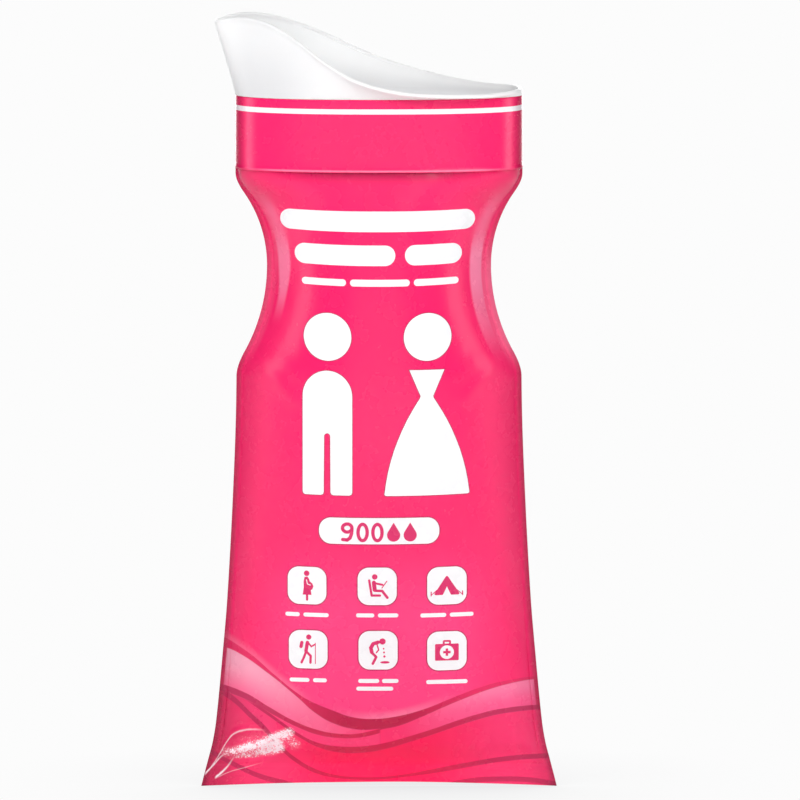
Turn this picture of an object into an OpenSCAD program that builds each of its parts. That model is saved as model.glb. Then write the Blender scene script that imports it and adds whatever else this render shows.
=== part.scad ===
// Disposable urine bag: a soft film pouch under a moulded funnel mouth.
// Origin: centre of the foot, on the bottom edge. +Z up, front face towards -Y,
// the tall beak of the mouth towards -X.

/* [Mouth] */
// Width of the neck band, left to right
neck_w = 104; // [98:1:110]
// Depth of the neck band, front to back
neck_d = 44; // [40:1:48]
// Height of the neck band
neck_h = 26.5; // [20:0.5:30]
// Wall of the moulded mouthpiece
mouth_wall = 1.6; // [1.2:0.1:2]
// How far the tip of the beak leans out past the neck band
beak_reach = 8.3; // [6:0.1:10]
// Height of the beak above the neck band
beak_h = 29; // [24:0.2:34]
// Depth of the rim, front lip to back lip
rim_d = 54; // [50:1:58]
// Thickness of the neck band
band_t = 0.8; // [0.6:0.05:1]

/* [Pouch] */
// Height of the pouch, from its foot to the lower edge of the neck band
pouch_h = 225.5; // [216:0.5:236]
// Width of the foot
foot_w = 129; // [125:1:133]
// Width across the waist
waist_w = 81.2; // [76:0.2:88]
// Height of the waist above the foot
waist_z = 190; // [186:0.1:194]
// Depth of the pouch at its fullest
pouch_d = 56; // [50:1:60]
// Thickness of the film
film_t = 0.4; // [0.3:0.05:0.5]
// Width of the sealed edge down each side
side_seal_w = 2; // [1.5:0.1:3]
// Height of the sealed strip at the foot
foot_seal_h = 8; // [6:0.5:10]
// Rise of the foot's edge in the middle
foot_arch = 1.4; // [0:0.1:2]

/* [Valve] */
// Width of the slit at the bottom of the valve
slit_w = 36; // [28:1:40]
// Length of the valve flaps below the neck
valve_l = 44; // [36:1:46]
// Thickness of the valve film
valve_t = 0.3; // [0.2:0.05:0.4]
// Height of the weld ring that holds the valve in the neck
valve_ring_h = 8; // [5:0.5:10]

/* [Absorbent] */
// Width of the sachet
sachet_w = 64; // [52:1:70]
// Height of the sachet
sachet_h = 62; // [50:1:70]
// Thickness of the sachet
sachet_d = 9; // [7:0.5:10]
// Mean radius of an absorbent granule
bead_r = 1.5; // [1.2:0.1:1.8]

/* [Motion] */
// Bend of the pouch under the neck, each way, in degrees
bag_flex = 15; // [5:1:16]
// Opening of each valve flap, in degrees
flap_open = 8; // [3:1:9]

/* [Hidden] */

gap = 0.03;              // clearance between neighbouring pieces
neck_top = pouch_h + neck_h;
skirt_low = pouch_h + 2; // lower edge of the mouthpiece's skirt, inside the neck
valve_seat = skirt_low + 1;

// Ovals nested in the neck, outside to inside, each as [half width, half depth]
function set_in(half, inset) = half - [inset, inset];
neck_half = [neck_w / 2, neck_d / 2];
film_half = set_in(neck_half, band_t + gap);
skirt_half = set_in(film_half, film_t + gap);
bore_half = set_in(skirt_half, mouth_wall);
neck_roundness = 2.3;    // exponent of the ovals: 2 is an ellipse, more is squarer

around = 80;             // points round a mouth or neck ring
ring_angles = [for (i = [0:around - 1]) i * 360 / around];
panel_across = 24;       // spans across a film panel
panel_rows = 30;         // spans up a film panel

// ---- curves ----

function mix(a, b, t) = a + (b - a) * t;

// Index of the table row at or below x
function row_of(table, x, i = 0) =
    (i >= len(table) - 2 || x < table[i + 1][0]) ? i : row_of(table, x, i + 1);
function slope(table, i, column) =
    let (before = max(0, i - 1), after = min(len(table) - 1, i + 1))
    (table[after][column] - table[before][column]) / (table[after][0] - table[before][0]);
// Smooth (Hermite) curve through one column of a table, against its first column
function curve(table, x, column = 1) =
    let (i = row_of(table, x), run = table[i + 1][0] - table[i][0],
         u = min(1, max(0, (x - table[i][0]) / run)), v = 1 - u)
    table[i][column] * (1 + 2 * u) * v * v + table[i + 1][column] * u * u * (3 - 2 * u)
    + run * slope(table, i, column) * u * v * v - run * slope(table, i + 1, column) * u * u * v;

// Smaller of two values, blended where they differ by less than `blend`
function soft_min(a, b, blend) =
    let (h = max(blend - abs(a - b), 0) / blend) min(a, b) - h * h * blend / 4;

// Point on an oval; `half` is [half width, half depth]
function oval(half, roundness, angle) =
    [half.x * sign(cos(angle)) * pow(abs(cos(angle)), 2 / roundness),
     half.y * sign(sin(angle)) * pow(abs(sin(angle)), 2 / roundness)];

// Drop of a top edge at front and back that keeps it clear when the piece swings
function swing_dip(half, swing, angle) =
    1.12 * tan(swing) * oval(half, neck_roundness, angle).y;

// ---- solids from grids of points ----

function reversed(list) = [for (i = [len(list) - 1:-1:0]) list[i]];
// Faces for the front or left (side -1); the mirrored side (+1) is wound the other way
function wound(faces, side) = side > 0 ? [for (face = faces) reversed(face)] : faces;

// Slab: a grid of points on its outer side, then the same grid on its inner side
function slab_faces(rows, columns) = let (inner = rows * columns) concat(
    [for (i = [0:rows - 2], j = [0:columns - 2]) let (k = i * columns + j)
        [k, k + 1, k + columns + 1, k + columns]],
    [for (i = [0:rows - 2], j = [0:columns - 2]) let (k = inner + i * columns + j)
        [k, k + columns, k + columns + 1, k + 1]],
    [for (j = [0:columns - 2]) [j, inner + j, inner + j + 1, j + 1]],
    [for (j = [0:columns - 2]) let (k = (rows - 1) * columns + j)
        [k, k + 1, inner + k + 1, inner + k]],
    [for (i = [0:rows - 2]) let (k = i * columns)
        [k, k + columns, inner + k + columns, inner + k]],
    [for (i = [0:rows - 2]) let (k = i * columns + columns - 1)
        [k, inner + k, inner + k + columns, k + columns]]);

module slab(points, rows, columns, side, convexity = 4) {
    polyhedron(points, wound(slab_faces(rows, columns), side), convexity = convexity);
}

// Bar: a stack of sections with `corners` points each, closed at both ends
function bar_faces(sections, corners) = concat(
    [for (i = [0:sections - 2], j = [0:corners - 1]) let (next = (j + 1) % corners)
        [i * corners + j, i * corners + next, (i + 1) * corners + next, (i + 1) * corners + j]],
    [[for (j = [0:corners - 1]) corners - 1 - j]],
    [[for (j = [0:corners - 1]) (sections - 1) * corners + j]]);

// Ring: loops of `around` points, up the outside and down the inside
module ring(loops, convexity = 6) {
    count = len(loops);
    faces = [for (i = [0:count - 1], j = [0:around - 1])
        let (here = i * around, above = ((i + 1) % count) * around, next = (j + 1) % around)
        [here + j, above + j, above + next, here + next]];
    polyhedron([for (loop = loops) each loop], faces, convexity = convexity);
}

// Level loops on an oval, from rows of [inset, z]
function oval_loops(half, profile) =
    [for (row = profile) [for (angle = ring_angles)
        let (p = oval(set_in(half, row[0]), neck_roundness, angle)) [p.x, p.y, row[1]]]];

// ---- mouth ----

funnel_half = set_in(neck_half, -0.1); // foot of the funnel, just wider than the band
funnel_flare = 1.12;                   // above 1, the wall leans out more towards the rim
beak_tip = neck_half.x + beak_reach;

// Lips over the neck band, from the beak to the low end:
// x, height of the front lip, height of the back lip (heights as parts of beak_h)
lip_reach = 60.3;                      // beak tip in the table's x
lips = [[-lip_reach, 0.934, 0.934], [-50, 1, 1], [-40, 0.944, 0.955],
        [-30, 0.753, 0.844], [-20, 0.497, 0.701], [-10, 0.288, 0.542],
        [0, 0.172, 0.392], [10, 0.108, 0.278], [20, 0.08, 0.188],
        [30, 0.069, 0.118], [40, 0.066, 0.08], [51.9, 0.087, 0.087]];

// Half depth of the rim at x: a full oval on the low side, drawn in to a beak on the
// tall side, where the root term rounds the tip
function rim_half(x, left, right, half_d) =
    x > 0
        ? half_d * pow(max(0, 1 - pow(x / right, 2.6)), 0.4545)
        : let (from_tip = left + x)
          half_d * pow(max(0, 1 - pow(-x / left, 2.8)), 1.12)
          + sqrt(max(0, 3 * from_tip)) * exp(-from_tip / 5);

// Point on the rim, set in from its outer edge
function rim_point(angle, inset) =
    let (left = beak_tip - inset * 1.5, right = neck_half.x - inset,
         x = (right - left) / 2 + (right + left) / 2 * cos(angle),
         full = rim_half(x, left, right, rim_d / 2 - inset),
         y = sign(sin(angle)) * full,
         frontness = full < 0.01 ? 0.5 : (1 - y / full) / 2,
         lip_x = x / beak_tip * lip_reach)
    [x, y, neck_top + beak_h * mix(curve(lips, lip_x, 2), curve(lips, lip_x, 1), frontness)];

// Point on the funnel's wall: rise is 0 at the neck, 1 at the rim
function wall_point(angle, rise, inset) =
    let (foot = oval(set_in(funnel_half, inset), neck_roundness, angle),
         rim = rim_point(angle, inset), lean = pow(rise, funnel_flare))
    [mix(foot.x, rim.x, lean), mix(foot.y, rim.y, lean), mix(neck_top + gap, rim.z, rise)];
function wall_loops(rises, inset) =
    [for (rise = rises) [for (angle = ring_angles) wall_point(angle, rise, inset)]];

module mouthpiece() {
    inner_rises = [0.95, 0.84, 0.7, 0.55, 0.4, 0.25, 0.12];
    outer_rises = concat([0], reversed(inner_rises));
    rim_edge = [[0.25, -0.1], [0.8, 0.25], [1.35, -0.1]];   // inset, lift
    color("whitesmoke")
        ring(concat(
            oval_loops(skirt_half, [[0.4, skirt_low], [0, skirt_low + 1], [0, neck_top + gap]]),
            wall_loops(outer_rises, 0),
            [for (edge = rim_edge)
                [for (angle = ring_angles) rim_point(angle, edge[0]) + [0, 0, edge[1]]]],
            wall_loops(inner_rises, mouth_wall),
            oval_loops(bore_half, [[0, neck_top - 2], [0, skirt_low]])), convexity = 8);
}

// Band round the neck, with a rolled lower edge
module neck_band() {
    roll = 0.35;     // how far the lower edge stands out
    chamfer = 0.2;
    color("hotpink")
        ring(oval_loops(neck_half, [
            [chamfer, pouch_h], [-roll, pouch_h + 0.5], [-roll, pouch_h + 1.5],
            [0, pouch_h + 2.2], [0, neck_top - 0.3], [chamfer, neck_top],
            [band_t, neck_top], [band_t, pouch_h]]));
}

// Straight-sided ring on an oval
module plain_ring(half, wall, low, high) {
    ring(oval_loops(half, [[0, low], [0, high], [wall, high], [wall, low]]));
}

// Top of the pouch film, wrapped on the skirt under the band
module neck_film() {
    color("deeppink") plain_ring(film_half, film_t, pouch_h + 0.2, neck_top - 0.5);
}

// ---- pouch ----

// Heights in the two tables run from the foot to outline_h, and stretch with pouch_h
outline_h = 226;
stretch = pouch_h / outline_h;

// Pouch before the waist is cut in: height, half width
side_line = [[0, foot_w / 2], [4, foot_w / 2 - 1], [9, foot_w / 2 - 2.3],
             [16, foot_w / 2 - 4.1], [24, foot_w / 2 - 5.4], [49, 56.7], [68, 55.1],
             [104, 53.1], [140, 51.8], [185, 51.7], [outline_h, neck_half.x]];
// Filled pouch: height, half depth
fullness = pouch_d / 56;
seal_half_d = film_t + 0.05;
depth_line = [[0, seal_half_d], [foot_seal_h, seal_half_d], [16, 5.6 * fullness],
              [31, 12.8 * fullness], [67, 21.2 * fullness], [104, 26.2 * fullness],
              [140, 28 * fullness], [175, 27.4 * fullness], [196, 26.2 * fullness],
              [212, 24.4 * fullness], [outline_h, film_half.y]];

waist_upper_r = 46;      // radius of the waist cut above its middle
waist_lower_r = 65;      // and below it
waist_blend = 3;
no_cut = 200;            // wider than the pouch, so the side line rules

function waist_cut(z) =
    let (rise = z - waist_z, r = rise > 0 ? waist_upper_r : waist_lower_r)
    abs(rise) < r * 0.9 ? waist_w / 2 + r - sqrt(r * r - rise * rise) : no_cut;
// Half width of the pouch with its side seals
function half_w(z) = soft_min(curve(side_line, z / stretch), waist_cut(z), waist_blend);

// 0 up to the table height `start`, then growing to 1 at the neck
function neck_blend(z, start) =
    min(1, max(0, (z / stretch - start) / (outline_h - start)));

// Film tube between the side seals: half width, half depth and roundness
function seal_w(z) = mix(side_seal_w, neck_half.x - film_half.x, neck_blend(z, 206));
function tube_half_w(z) = half_w(z) - seal_w(z);
function tube_half(z) = [tube_half_w(z), curve(depth_line, z / stretch)];
function tube_roundness(z) = mix(2.05, neck_roundness, neck_blend(z, 150));

// Top edge of the film, dipped at front and back for the bend under the neck
function panel_top(angle) = pouch_h - 1 - swing_dip(film_half, bag_flex, angle);
// Height of a row of points; rows lie closer together towards the foot
function row_z(row, angle) =
    mix(foot_seal_h + gap, panel_top(angle), pow(row / panel_rows, 1.06));

module film_panel(side) {
    points = [for (inset = [0, film_t], i = [0:panel_rows], j = [0:panel_across])
        let (angle = 180 * j / panel_across, z = row_z(i, angle),
             p = oval(set_in(tube_half(z), inset), tube_roundness(z), angle))
        [p.x, side * (p.y + gap), z]];
    slab(points, panel_rows + 1, panel_across + 1, side, convexity = 6);
}

module front_film() { color("deeppink") film_panel(-1); }
module back_film() { color("hotpink") film_panel(1); }

module side_seal(side) {
    points = [for (i = [0:panel_rows])
        let (z = row_z(i, 0), inner = side * (tube_half_w(z) + 2 * gap),
             outer = side * half_w(z))
        each [[inner, -film_t, z], [outer, -film_t, z], [outer, film_t, z], [inner, film_t, z]]];
    polyhedron(points, wound(bar_faces(panel_rows + 1, 4), side), convexity = 4);
}

module side_seal_left() { color("mediumvioletred") side_seal(-1); }
module side_seal_right() { color("mediumvioletred") side_seal(1); }

// Flat strip where both films are fused across the foot
module foot_seal() {
    low_spans = 24;
    side_spans = 6;
    low = [for (i = [0:low_spans])
        let (x = mix(-foot_w / 2, foot_w / 2, i / low_spans))
        [x, foot_arch * (1 - pow(2 * x / foot_w, 2))]];
    right = [for (i = [1:side_spans]) let (z = foot_seal_h * i / side_spans) [half_w(z), z]];
    left = [for (p = reversed(right)) [-p.x, p.y]];
    color("mediumvioletred")
        rotate([90, 0, 0])
            linear_extrude(2 * film_t, center = true)
                polygon(concat(low, right, left));
}

// ---- valve inside the neck ----

module valve_ring() {
    color("lightcyan")
        plain_ring(set_in(bore_half, gap), valve_t, valve_seat, valve_seat + valve_ring_h);
}

// Half of a sleeve that narrows down to the slit
module valve_flap(side) {
    rows = 13;
    columns = 21;
    top_half = set_in(bore_half, 0.9);    // clear of the skirt when the flap swings out
    slit_half = [slit_w / 2, valve_t + 0.06];
    low = valve_seat - valve_l;
    points = [for (inset = [0, valve_t], i = [0:rows - 1], j = [0:columns - 1])
        let (angle = 180 * j / (columns - 1), rise = i / (rows - 1),
             top = skirt_low + 0.5 - swing_dip(top_half, flap_open, angle),
             p = oval(set_in(mix(slit_half, top_half, rise), inset), neck_roundness, angle))
        [p.x, side * (p.y + gap), mix(low, top, rise)]];
    slab(points, rows, columns, side);
}

module valve_flap_front() { color("lightcyan") valve_flap(-1); }
module valve_flap_back() { color("paleturquoise") valve_flap(1); }

// ---- absorbent sachet in the foot of the pouch ----

sachet_low = 20;
sachet_mid = sachet_low + sachet_h / 2;
sachet_seam = 4;         // flat edge all round
sheet_t = 0.3;

// Half depth inside the sachet
function sachet_bulge(x, z) =
    let (u = min(1, abs(x) / (sachet_w / 2 - sachet_seam)),
         v = min(1, abs(z - sachet_mid) / (sachet_h / 2 - sachet_seam)))
    (sachet_d / 2 - 0.4) * pow((1 - pow(u, 3)) * (1 - pow(v, 3)), 0.6);

module sachet_sheet(side) {
    spans = 16;
    points = [for (skin = [sheet_t, 0], i = [0:spans], j = [0:spans])
        let (x = mix(sachet_w / 2, -sachet_w / 2, j / spans),
             z = mix(sachet_low, sachet_low + sachet_h, i / spans))
        [x, side * (sachet_bulge(x, z) + skin + gap), z]];
    slab(points, spans + 1, spans + 1, side);
}

module sachet_front_sheet() { color("white") sachet_sheet(-1); }
module sachet_back_sheet() { color("ivory") sachet_sheet(1); }

// Beads on a loose grid, each shifted and sized at random, left out where they don't fit
module absorbent_granules() {
    pitch = 5.2;
    margin = 12;         // from the grid to the sachet's edge
    shift = 0.6;         // greatest shift across and up
    r_spread = 0.25;
    clearance = 0.25;    // to the sheets
    count_x = floor((sachet_w / 2 - margin) / pitch);
    count_z = floor((sachet_h / 2 - margin) / pitch);
    color("aliceblue")
        for (i = [-count_x:count_x], k = [-count_z:count_z])
            let (random = rands(-1, 1, 4, 7 + i * 31 + k * 7),
                 x = i * pitch + random[0] * shift,
                 z = sachet_mid + k * pitch + random[1] * shift,
                 r = bead_r + r_spread * random[2],
                 room = sachet_bulge(x, z) - r - clearance)
            if (room > 0)
                translate([x, room * 0.8 * random[3], z]) sphere(r, $fn = 24);
}

mouthpiece();
neck_band();
neck_film();
front_film();
back_film();
side_seal_left();
side_seal_right();
foot_seal();
valve_ring();
valve_flap_front();
valve_flap_back();
sachet_front_sheet();
sachet_back_sheet();
absorbent_granules();
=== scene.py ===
"""A printed film pouch with a sealed foot and sides, a neck band, a beaked mouthpiece,
a two-flap valve and an absorbent sachet inside.

It stands upright on z = 0: x runs across, the front faces -y, and the beak's tall end is
at -x. Shapes are worked out in mm and become metres in make().
"""

import math
from functools import cached_property

import bmesh
import bpy
import numpy as np
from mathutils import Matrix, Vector
from mathutils.geometry import delaunay_2d_cdt


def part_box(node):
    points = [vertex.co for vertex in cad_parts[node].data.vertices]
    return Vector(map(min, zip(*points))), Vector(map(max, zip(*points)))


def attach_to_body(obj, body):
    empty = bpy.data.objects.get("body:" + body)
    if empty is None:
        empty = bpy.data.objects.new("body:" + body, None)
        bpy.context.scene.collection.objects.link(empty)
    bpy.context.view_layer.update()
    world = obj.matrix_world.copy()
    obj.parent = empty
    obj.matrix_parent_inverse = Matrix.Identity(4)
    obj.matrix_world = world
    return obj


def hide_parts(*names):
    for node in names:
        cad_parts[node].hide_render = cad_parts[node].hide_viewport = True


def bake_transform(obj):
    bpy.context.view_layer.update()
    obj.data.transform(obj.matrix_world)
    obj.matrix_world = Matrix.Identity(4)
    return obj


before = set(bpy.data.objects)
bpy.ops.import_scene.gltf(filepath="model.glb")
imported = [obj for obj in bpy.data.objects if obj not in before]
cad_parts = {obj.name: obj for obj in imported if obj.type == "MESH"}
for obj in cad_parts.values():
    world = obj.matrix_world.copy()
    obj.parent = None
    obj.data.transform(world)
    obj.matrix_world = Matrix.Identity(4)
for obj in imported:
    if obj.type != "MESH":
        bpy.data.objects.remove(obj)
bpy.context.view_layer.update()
SCENE = bpy.context.scene
TAU = 2 * math.pi
SIDES = ((-1, "front"), (1, "back"))


# ---------------------------------------------------------------- sizes, in mm
def mm_box(node):
    low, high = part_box(node)
    return np.array(low) * 1000, np.array(high) * 1000


band_low, band_high = mm_box("neck_band")
foot_low, foot_high = mm_box("foot_seal")
ring_low, ring_high = mm_box("valve_ring")
sachet_low, sachet_high = mm_box("sachet_front_sheet")
FLAP_LOW = mm_box("valve_flap_front")[0][2]

NECK_LOW, NECK_TOP = band_low[2], band_high[2]
LIP = 0.35                      # how far the band's rolled edge stands out
BAND_T, FILM_T, GAP = 0.8, 0.4, 0.03
WALL = 1.6                      # mouthpiece wall
SKIN = 0.22                     # film thickness as drawn

# nested ovals at the neck, each (half width, half depth)
NECK = band_high[:2] - LIP
FILM = NECK - BAND_T - GAP
SKIRT = FILM - FILM_T - GAP
BORE = SKIRT - WALL
VALVE = BORE - GAP
OVAL_POWER = 2.3

FOOT_HALF = foot_high[0]
FOOT_TOP = foot_high[2]
FULL_DEPTH = -mm_box("front_film")[0][1] - GAP      # half depth of the full pouch
Z_SCALE = NECK_LOW / 226.0      # the outlines below are drawn for a neck at 226
DEPTH_SCALE = FULL_DEPTH / 28
WAIST_HALF, WAIST_Z = 40.6, NECK_LOW - 35.5

MOUTH_LEFT, MOUTH_RIGHT = -mm_box("mouthpiece")[0][0], NECK[0]
RIM_DEPTH = 27.0                # half depth of the mouthpiece rim
BEAK_HEIGHT = 29.0


# ---------------------------------------------------------------- curves
def smooth_table(rows):
    """Smooth curve through (x, y) rows, level beyond its ends."""
    x, y = np.array(rows, float).T
    slope = np.empty(len(x))
    slope[1:-1] = (y[2:] - y[:-2]) / (x[2:] - x[:-2])
    slope[0] = (y[1] - y[0]) / (x[1] - x[0])
    slope[-1] = (y[-1] - y[-2]) / (x[-1] - x[-2])

    def at(where):
        where = np.asarray(where, float)
        i = np.clip(np.searchsorted(x, where, side="right") - 1, 0, len(x) - 2)
        span = x[i + 1] - x[i]
        u = np.clip((where - x[i]) / span, 0, 1)
        v = 1 - u
        return (y[i] * (1 + 2 * u) * v * v + y[i + 1] * u * u * (3 - 2 * u)
                + span * slope[i] * u * v * v - span * slope[i + 1] * u * u * v)
    return at


def ramp(value, start, end):
    """Smooth step: 0 at start, 1 at end."""
    share = np.clip((np.asarray(value, float) - start) / (end - start), 0, 1)
    return share * share * (3 - 2 * share)


def soft_min(first, second, width):
    near = np.maximum(width - np.abs(first - second), 0) / width
    return np.minimum(first, second) - near * near * width / 4


def signed_power(value, power):
    return np.sign(value) * np.abs(value) ** power


def oval(half, angle):
    return (half[0] * signed_power(np.cos(angle), 2 / OVAL_POWER),
            half[1] * signed_power(np.sin(angle), 2 / OVAL_POWER))


# ---------------------------------------------------------------- pouch outline
# height, half width
side_line = smooth_table([
    [0, FOOT_HALF], [4, FOOT_HALF - 1], [9, FOOT_HALF - 2.3], [16, FOOT_HALF - 4.1],
    [24, FOOT_HALF - 5.4], [49, 56.7], [68, 55.1], [104, 53.1], [140, 51.8], [185, 51.7],
    [226, NECK[0]]])
# height, half depth
depth_line = smooth_table([
    [0, 0.45], [8, 0.45], [16, 5.6 * DEPTH_SCALE], [31, 12.8 * DEPTH_SCALE],
    [67, 21.2 * DEPTH_SCALE], [104, 26.2 * DEPTH_SCALE], [140, 28 * DEPTH_SCALE],
    [175, 27.4 * DEPTH_SCALE], [196, 26.2 * DEPTH_SCALE], [212, 24.4 * DEPTH_SCALE],
    [226, FILM[1]]])


def half_width(z):
    """Half width with the side seals; arcs above and below cut in the waist."""
    z = np.asarray(z, float)
    off = z - WAIST_Z
    radius = np.where(off > 0, 46.0, 65.0)
    arc = WAIST_HALF + radius - np.sqrt(np.maximum(radius * radius - off * off, 0))
    cut = np.where(np.abs(off) < radius * 0.9, arc, 200.0)
    return soft_min(side_line(z / Z_SCALE), cut, 3.0)


def seal_width(z):
    share = np.clip((np.asarray(z, float) / Z_SCALE - 206) / 20, 0, 1)
    return 2 + (NECK[0] - FILM[0] - 2) * share


def tube_width(z):
    """Half width of the open film tube between the side seals."""
    return np.where(np.asarray(z) > NECK_LOW, FILM[0],
                    half_width(np.minimum(z, NECK_LOW)) - seal_width(z))


def tube_depth(z):
    z = np.asarray(z, float)
    return np.where(z > NECK_LOW, FILM[1], depth_line(np.minimum(z, NECK_LOW) / Z_SCALE))


def tube_power(z):
    share = np.clip((np.asarray(z, float) / Z_SCALE - 150) / 76, 0, 1)
    return 2.05 + (OVAL_POWER - 2.05) * share


def tube_pinch(z):
    """How pointed the section's ends are: oval at the band, a pinch of film below."""
    return 0.9 + (1 / OVAL_POWER - 0.9) * ramp(z, NECK_LOW - 15, NECK_LOW + 0.5)


# ---------------------------------------------------------------- creases and wrinkles
# crumpled left corner of the foot: (x, z) points, height, width
CORNER_FOLDS = (
    ([(-63.1, 4.5), (-59.7, 8.5), (-57.4, 12.5), (-55.7, 16.1), (-52.9, 19.6), (-49.5, 20.9),
      (-45, 21.2), (-41.6, 21.1)], 0.8, 1.3),
    ([(-63.1, 4.5), (-59.5, 8.2), (-56.3, 11.6), (-55.6, 12.2), (-50.2, 13.2), (-44.5, 14.6),
      (-41, 16.2), (-37.5, 19), (-33.5, 20.6), (-31.7, 20.7)], 1.0, 1.9),
    ([(-55, 17), (-48, 17.5), (-40, 19)], -0.6, 1.5),
    ([(-53, 9), (-44, 10.5), (-34, 14)], -0.5, 1.6),
    ([(-56, 24), (-47, 27), (-36, 29)], 0.3, 2.4),
    # slight folds at the right corner
    ([(61, 7), (55, 14), (47, 19)], 0.4, 1.8),
    ([(59, 9), (49, 12), (38, 13)], -0.3, 1.8))
# painted glare on the creased left corner: (x, z) points, width, strength
CORNER_GLARE = (
    ([(-55.7, 12.3), (-50, 13.5), (-44.8, 15), (-40.7, 16.7), (-36.5, 18.7), (-32.6, 20)],
     1.9, 0.95),
    ([(-46, 12.9), (-42, 12.9), (-38.5, 13.3), (-35.8, 14.2)], 1.9, 0.95),
    ([(-45, 14.2), (-41, 15), (-37, 16.4)], 2.3, 1.0),
    ([(-53.5, 10.6), (-49, 11.4), (-44, 11.6)], 1.4, 0.55),
    ([(-38, 18), (-33, 18), (-30.5, 15.5)], 2.6, 0.42),
    ([(-53, 14.5), (-48, 17), (-41, 18.6)], 3.0, 0.26))
# tension lines from the ends of the waist: outer z, inner z, height
WAIST_FOLDS = ((158, 138, 0.32), (164, 150, 0.22), (216, 224, 0.18))


def near_line(x, z, points):
    """Distance from (x, z) to a polyline, and the share of the way along it."""
    best = np.full(np.shape(x), 1e9)
    share = np.zeros(np.shape(x))
    points = np.array(points, float)
    lengths = np.linalg.norm(np.diff(points, axis=0), axis=1)
    run = np.concatenate([[0], np.cumsum(lengths)]) / lengths.sum()
    for k in range(len(points) - 1):
        start = points[k]
        way = points[k + 1] - start
        along = ((x - start[0]) * way[0] + (z - start[1]) * way[1]) / (way @ way)
        along = np.clip(along, 0, 1)
        reach = np.hypot(x - start[0] - along * way[0], z - start[1] - along * way[1])
        share = np.where(reach < best, run[k] + along * (run[k + 1] - run[k]), share)
        best = np.minimum(best, reach)
    return best, share


def crease(x, z, points, height, width):
    reach, share = near_line(x, z, points)
    fade_out = np.sin(np.clip(share * 1.15, 0, 1) * math.pi) ** 0.5
    return height * np.exp(-(reach / width) ** 2) * fade_out


def glare_density(x, z):
    """How thickly the creased corner is speckled with painted glare, 0 to 1."""
    result = np.zeros(np.shape(x))
    for points, width, strength in CORNER_GLARE:
        reach, share = near_line(x, z, points)
        mark = strength * np.exp(-(reach / width) ** 2.4) * (0.55 + 0.45 * ramp(share, 0, 0.35))
        result = np.maximum(result, mark)
    return result


def folds(x, z, side):
    """How far the wrinkled film stands out from its smooth inflated shape."""
    x, z = np.asarray(x, float), np.asarray(z, float)
    turned = x * (1 if side < 0 else -1)     # the back's folds are the front's, turned round
    # pleats just above the foot seal, deeper towards the sides
    foot = ramp(z, 8.5, 15) * np.exp(-np.maximum(z - 11, 0) / 11)
    out = (0.34 * foot * (0.25 + 1.1 * (np.abs(x) / 60) ** 2)
           * (np.sin(turned * 0.55 + 0.6) + 0.6 * np.sin(turned * 1.02 + 2.1)))
    # broad, faint dents in the taut film
    out = (out + 0.10 * np.sin(turned * 0.085 + 0.4) * np.sin(z * 0.052 + 1.0)
           + 0.05 * np.sin(turned * 0.19 + z * 0.11))
    for sign in (-1, 1):
        for outer_z, inner_z, height in WAIST_FOLDS:
            line = [(sign * 45, outer_z), (sign * 36, (outer_z + inner_z) / 2),
                    (sign * 27, inner_z)]
            out = out + crease(x, z, line, height, 2.6)
    for points, height, width in CORNER_FOLDS:
        out = out + ramp(z, 8.2, 11) * crease(turned, z, points, height, width)
    # small gathers where the film goes under the band
    out = out + (0.05 * np.exp(-np.maximum(NECK_LOW - z, 0) / 4.5) * np.sin(turned * 0.8)
                 * ramp(z, 200, NECK_LOW))
    inside = 1 - ramp(np.abs(x) / tube_width(z), 0.86, 0.985)
    return out * inside * (1 - ramp(z, NECK_LOW - 1, NECK_LOW))


def film_y(x, z, side, rise):
    """y of a surface that stands rise above the film's outer face at (x, z)."""
    share = np.clip(np.abs(x) / tube_width(z), 0, 0.9999)
    bulge = tube_depth(z) * (1 - share ** tube_power(z)) ** tube_pinch(z)
    return side * (bulge + GAP + folds(x, z, side) + rise)


# ---------------------------------------------------------------- mesh helpers
def add_attribute(mesh, name, values, kind="FLOAT", field="value"):
    layer = mesh.attributes.new(name, kind, "POINT")
    layer.data.foreach_set(field, np.asarray(values, np.float32).ravel())


def make(name, verts, faces, material, angle=None, glare_below=None):
    """An object from points in mm; the painted crease glare goes on points with y under the given
    limit.
    """
    verts = np.asarray(verts, float)
    x, y, z = verts.T
    mesh = bpy.data.meshes.new(name)
    mesh.from_pydata((verts * 0.001).tolist(), [], [tuple(int(i) for i in f) for f in faces])
    mesh.update()
    # for the materials: the place at rest, and the distance in from the side edge
    add_attribute(mesh, "rest", verts, "FLOAT_VECTOR", "vector")
    full = np.where(z > NECK_LOW, NECK[0], half_width(np.clip(z, 0, NECK_LOW)))
    add_attribute(mesh, "edge", full - np.abs(x))
    # painted glare on the creased corner, kept as the glint attribute
    if glare_below is not None:
        add_attribute(mesh, "glint", glare_density(x, z) * (y < glare_below))
    mesh.polygons.foreach_set("use_smooth", [True] * len(mesh.polygons))
    if angle:
        mesh.set_sharp_from_angle(angle=math.radians(angle))
    piece = bpy.data.objects.new(name, mesh)
    SCENE.collection.objects.link(piece)
    mesh.materials.append(material)
    return piece


def attach(piece, ride=None, replaces=None):
    """Ride on one body, or blend from mouth to pouch when none is given."""
    if ride:
        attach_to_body(piece, ride)
    else:
        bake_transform(piece)
    if replaces:
        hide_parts(replaces)


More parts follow.
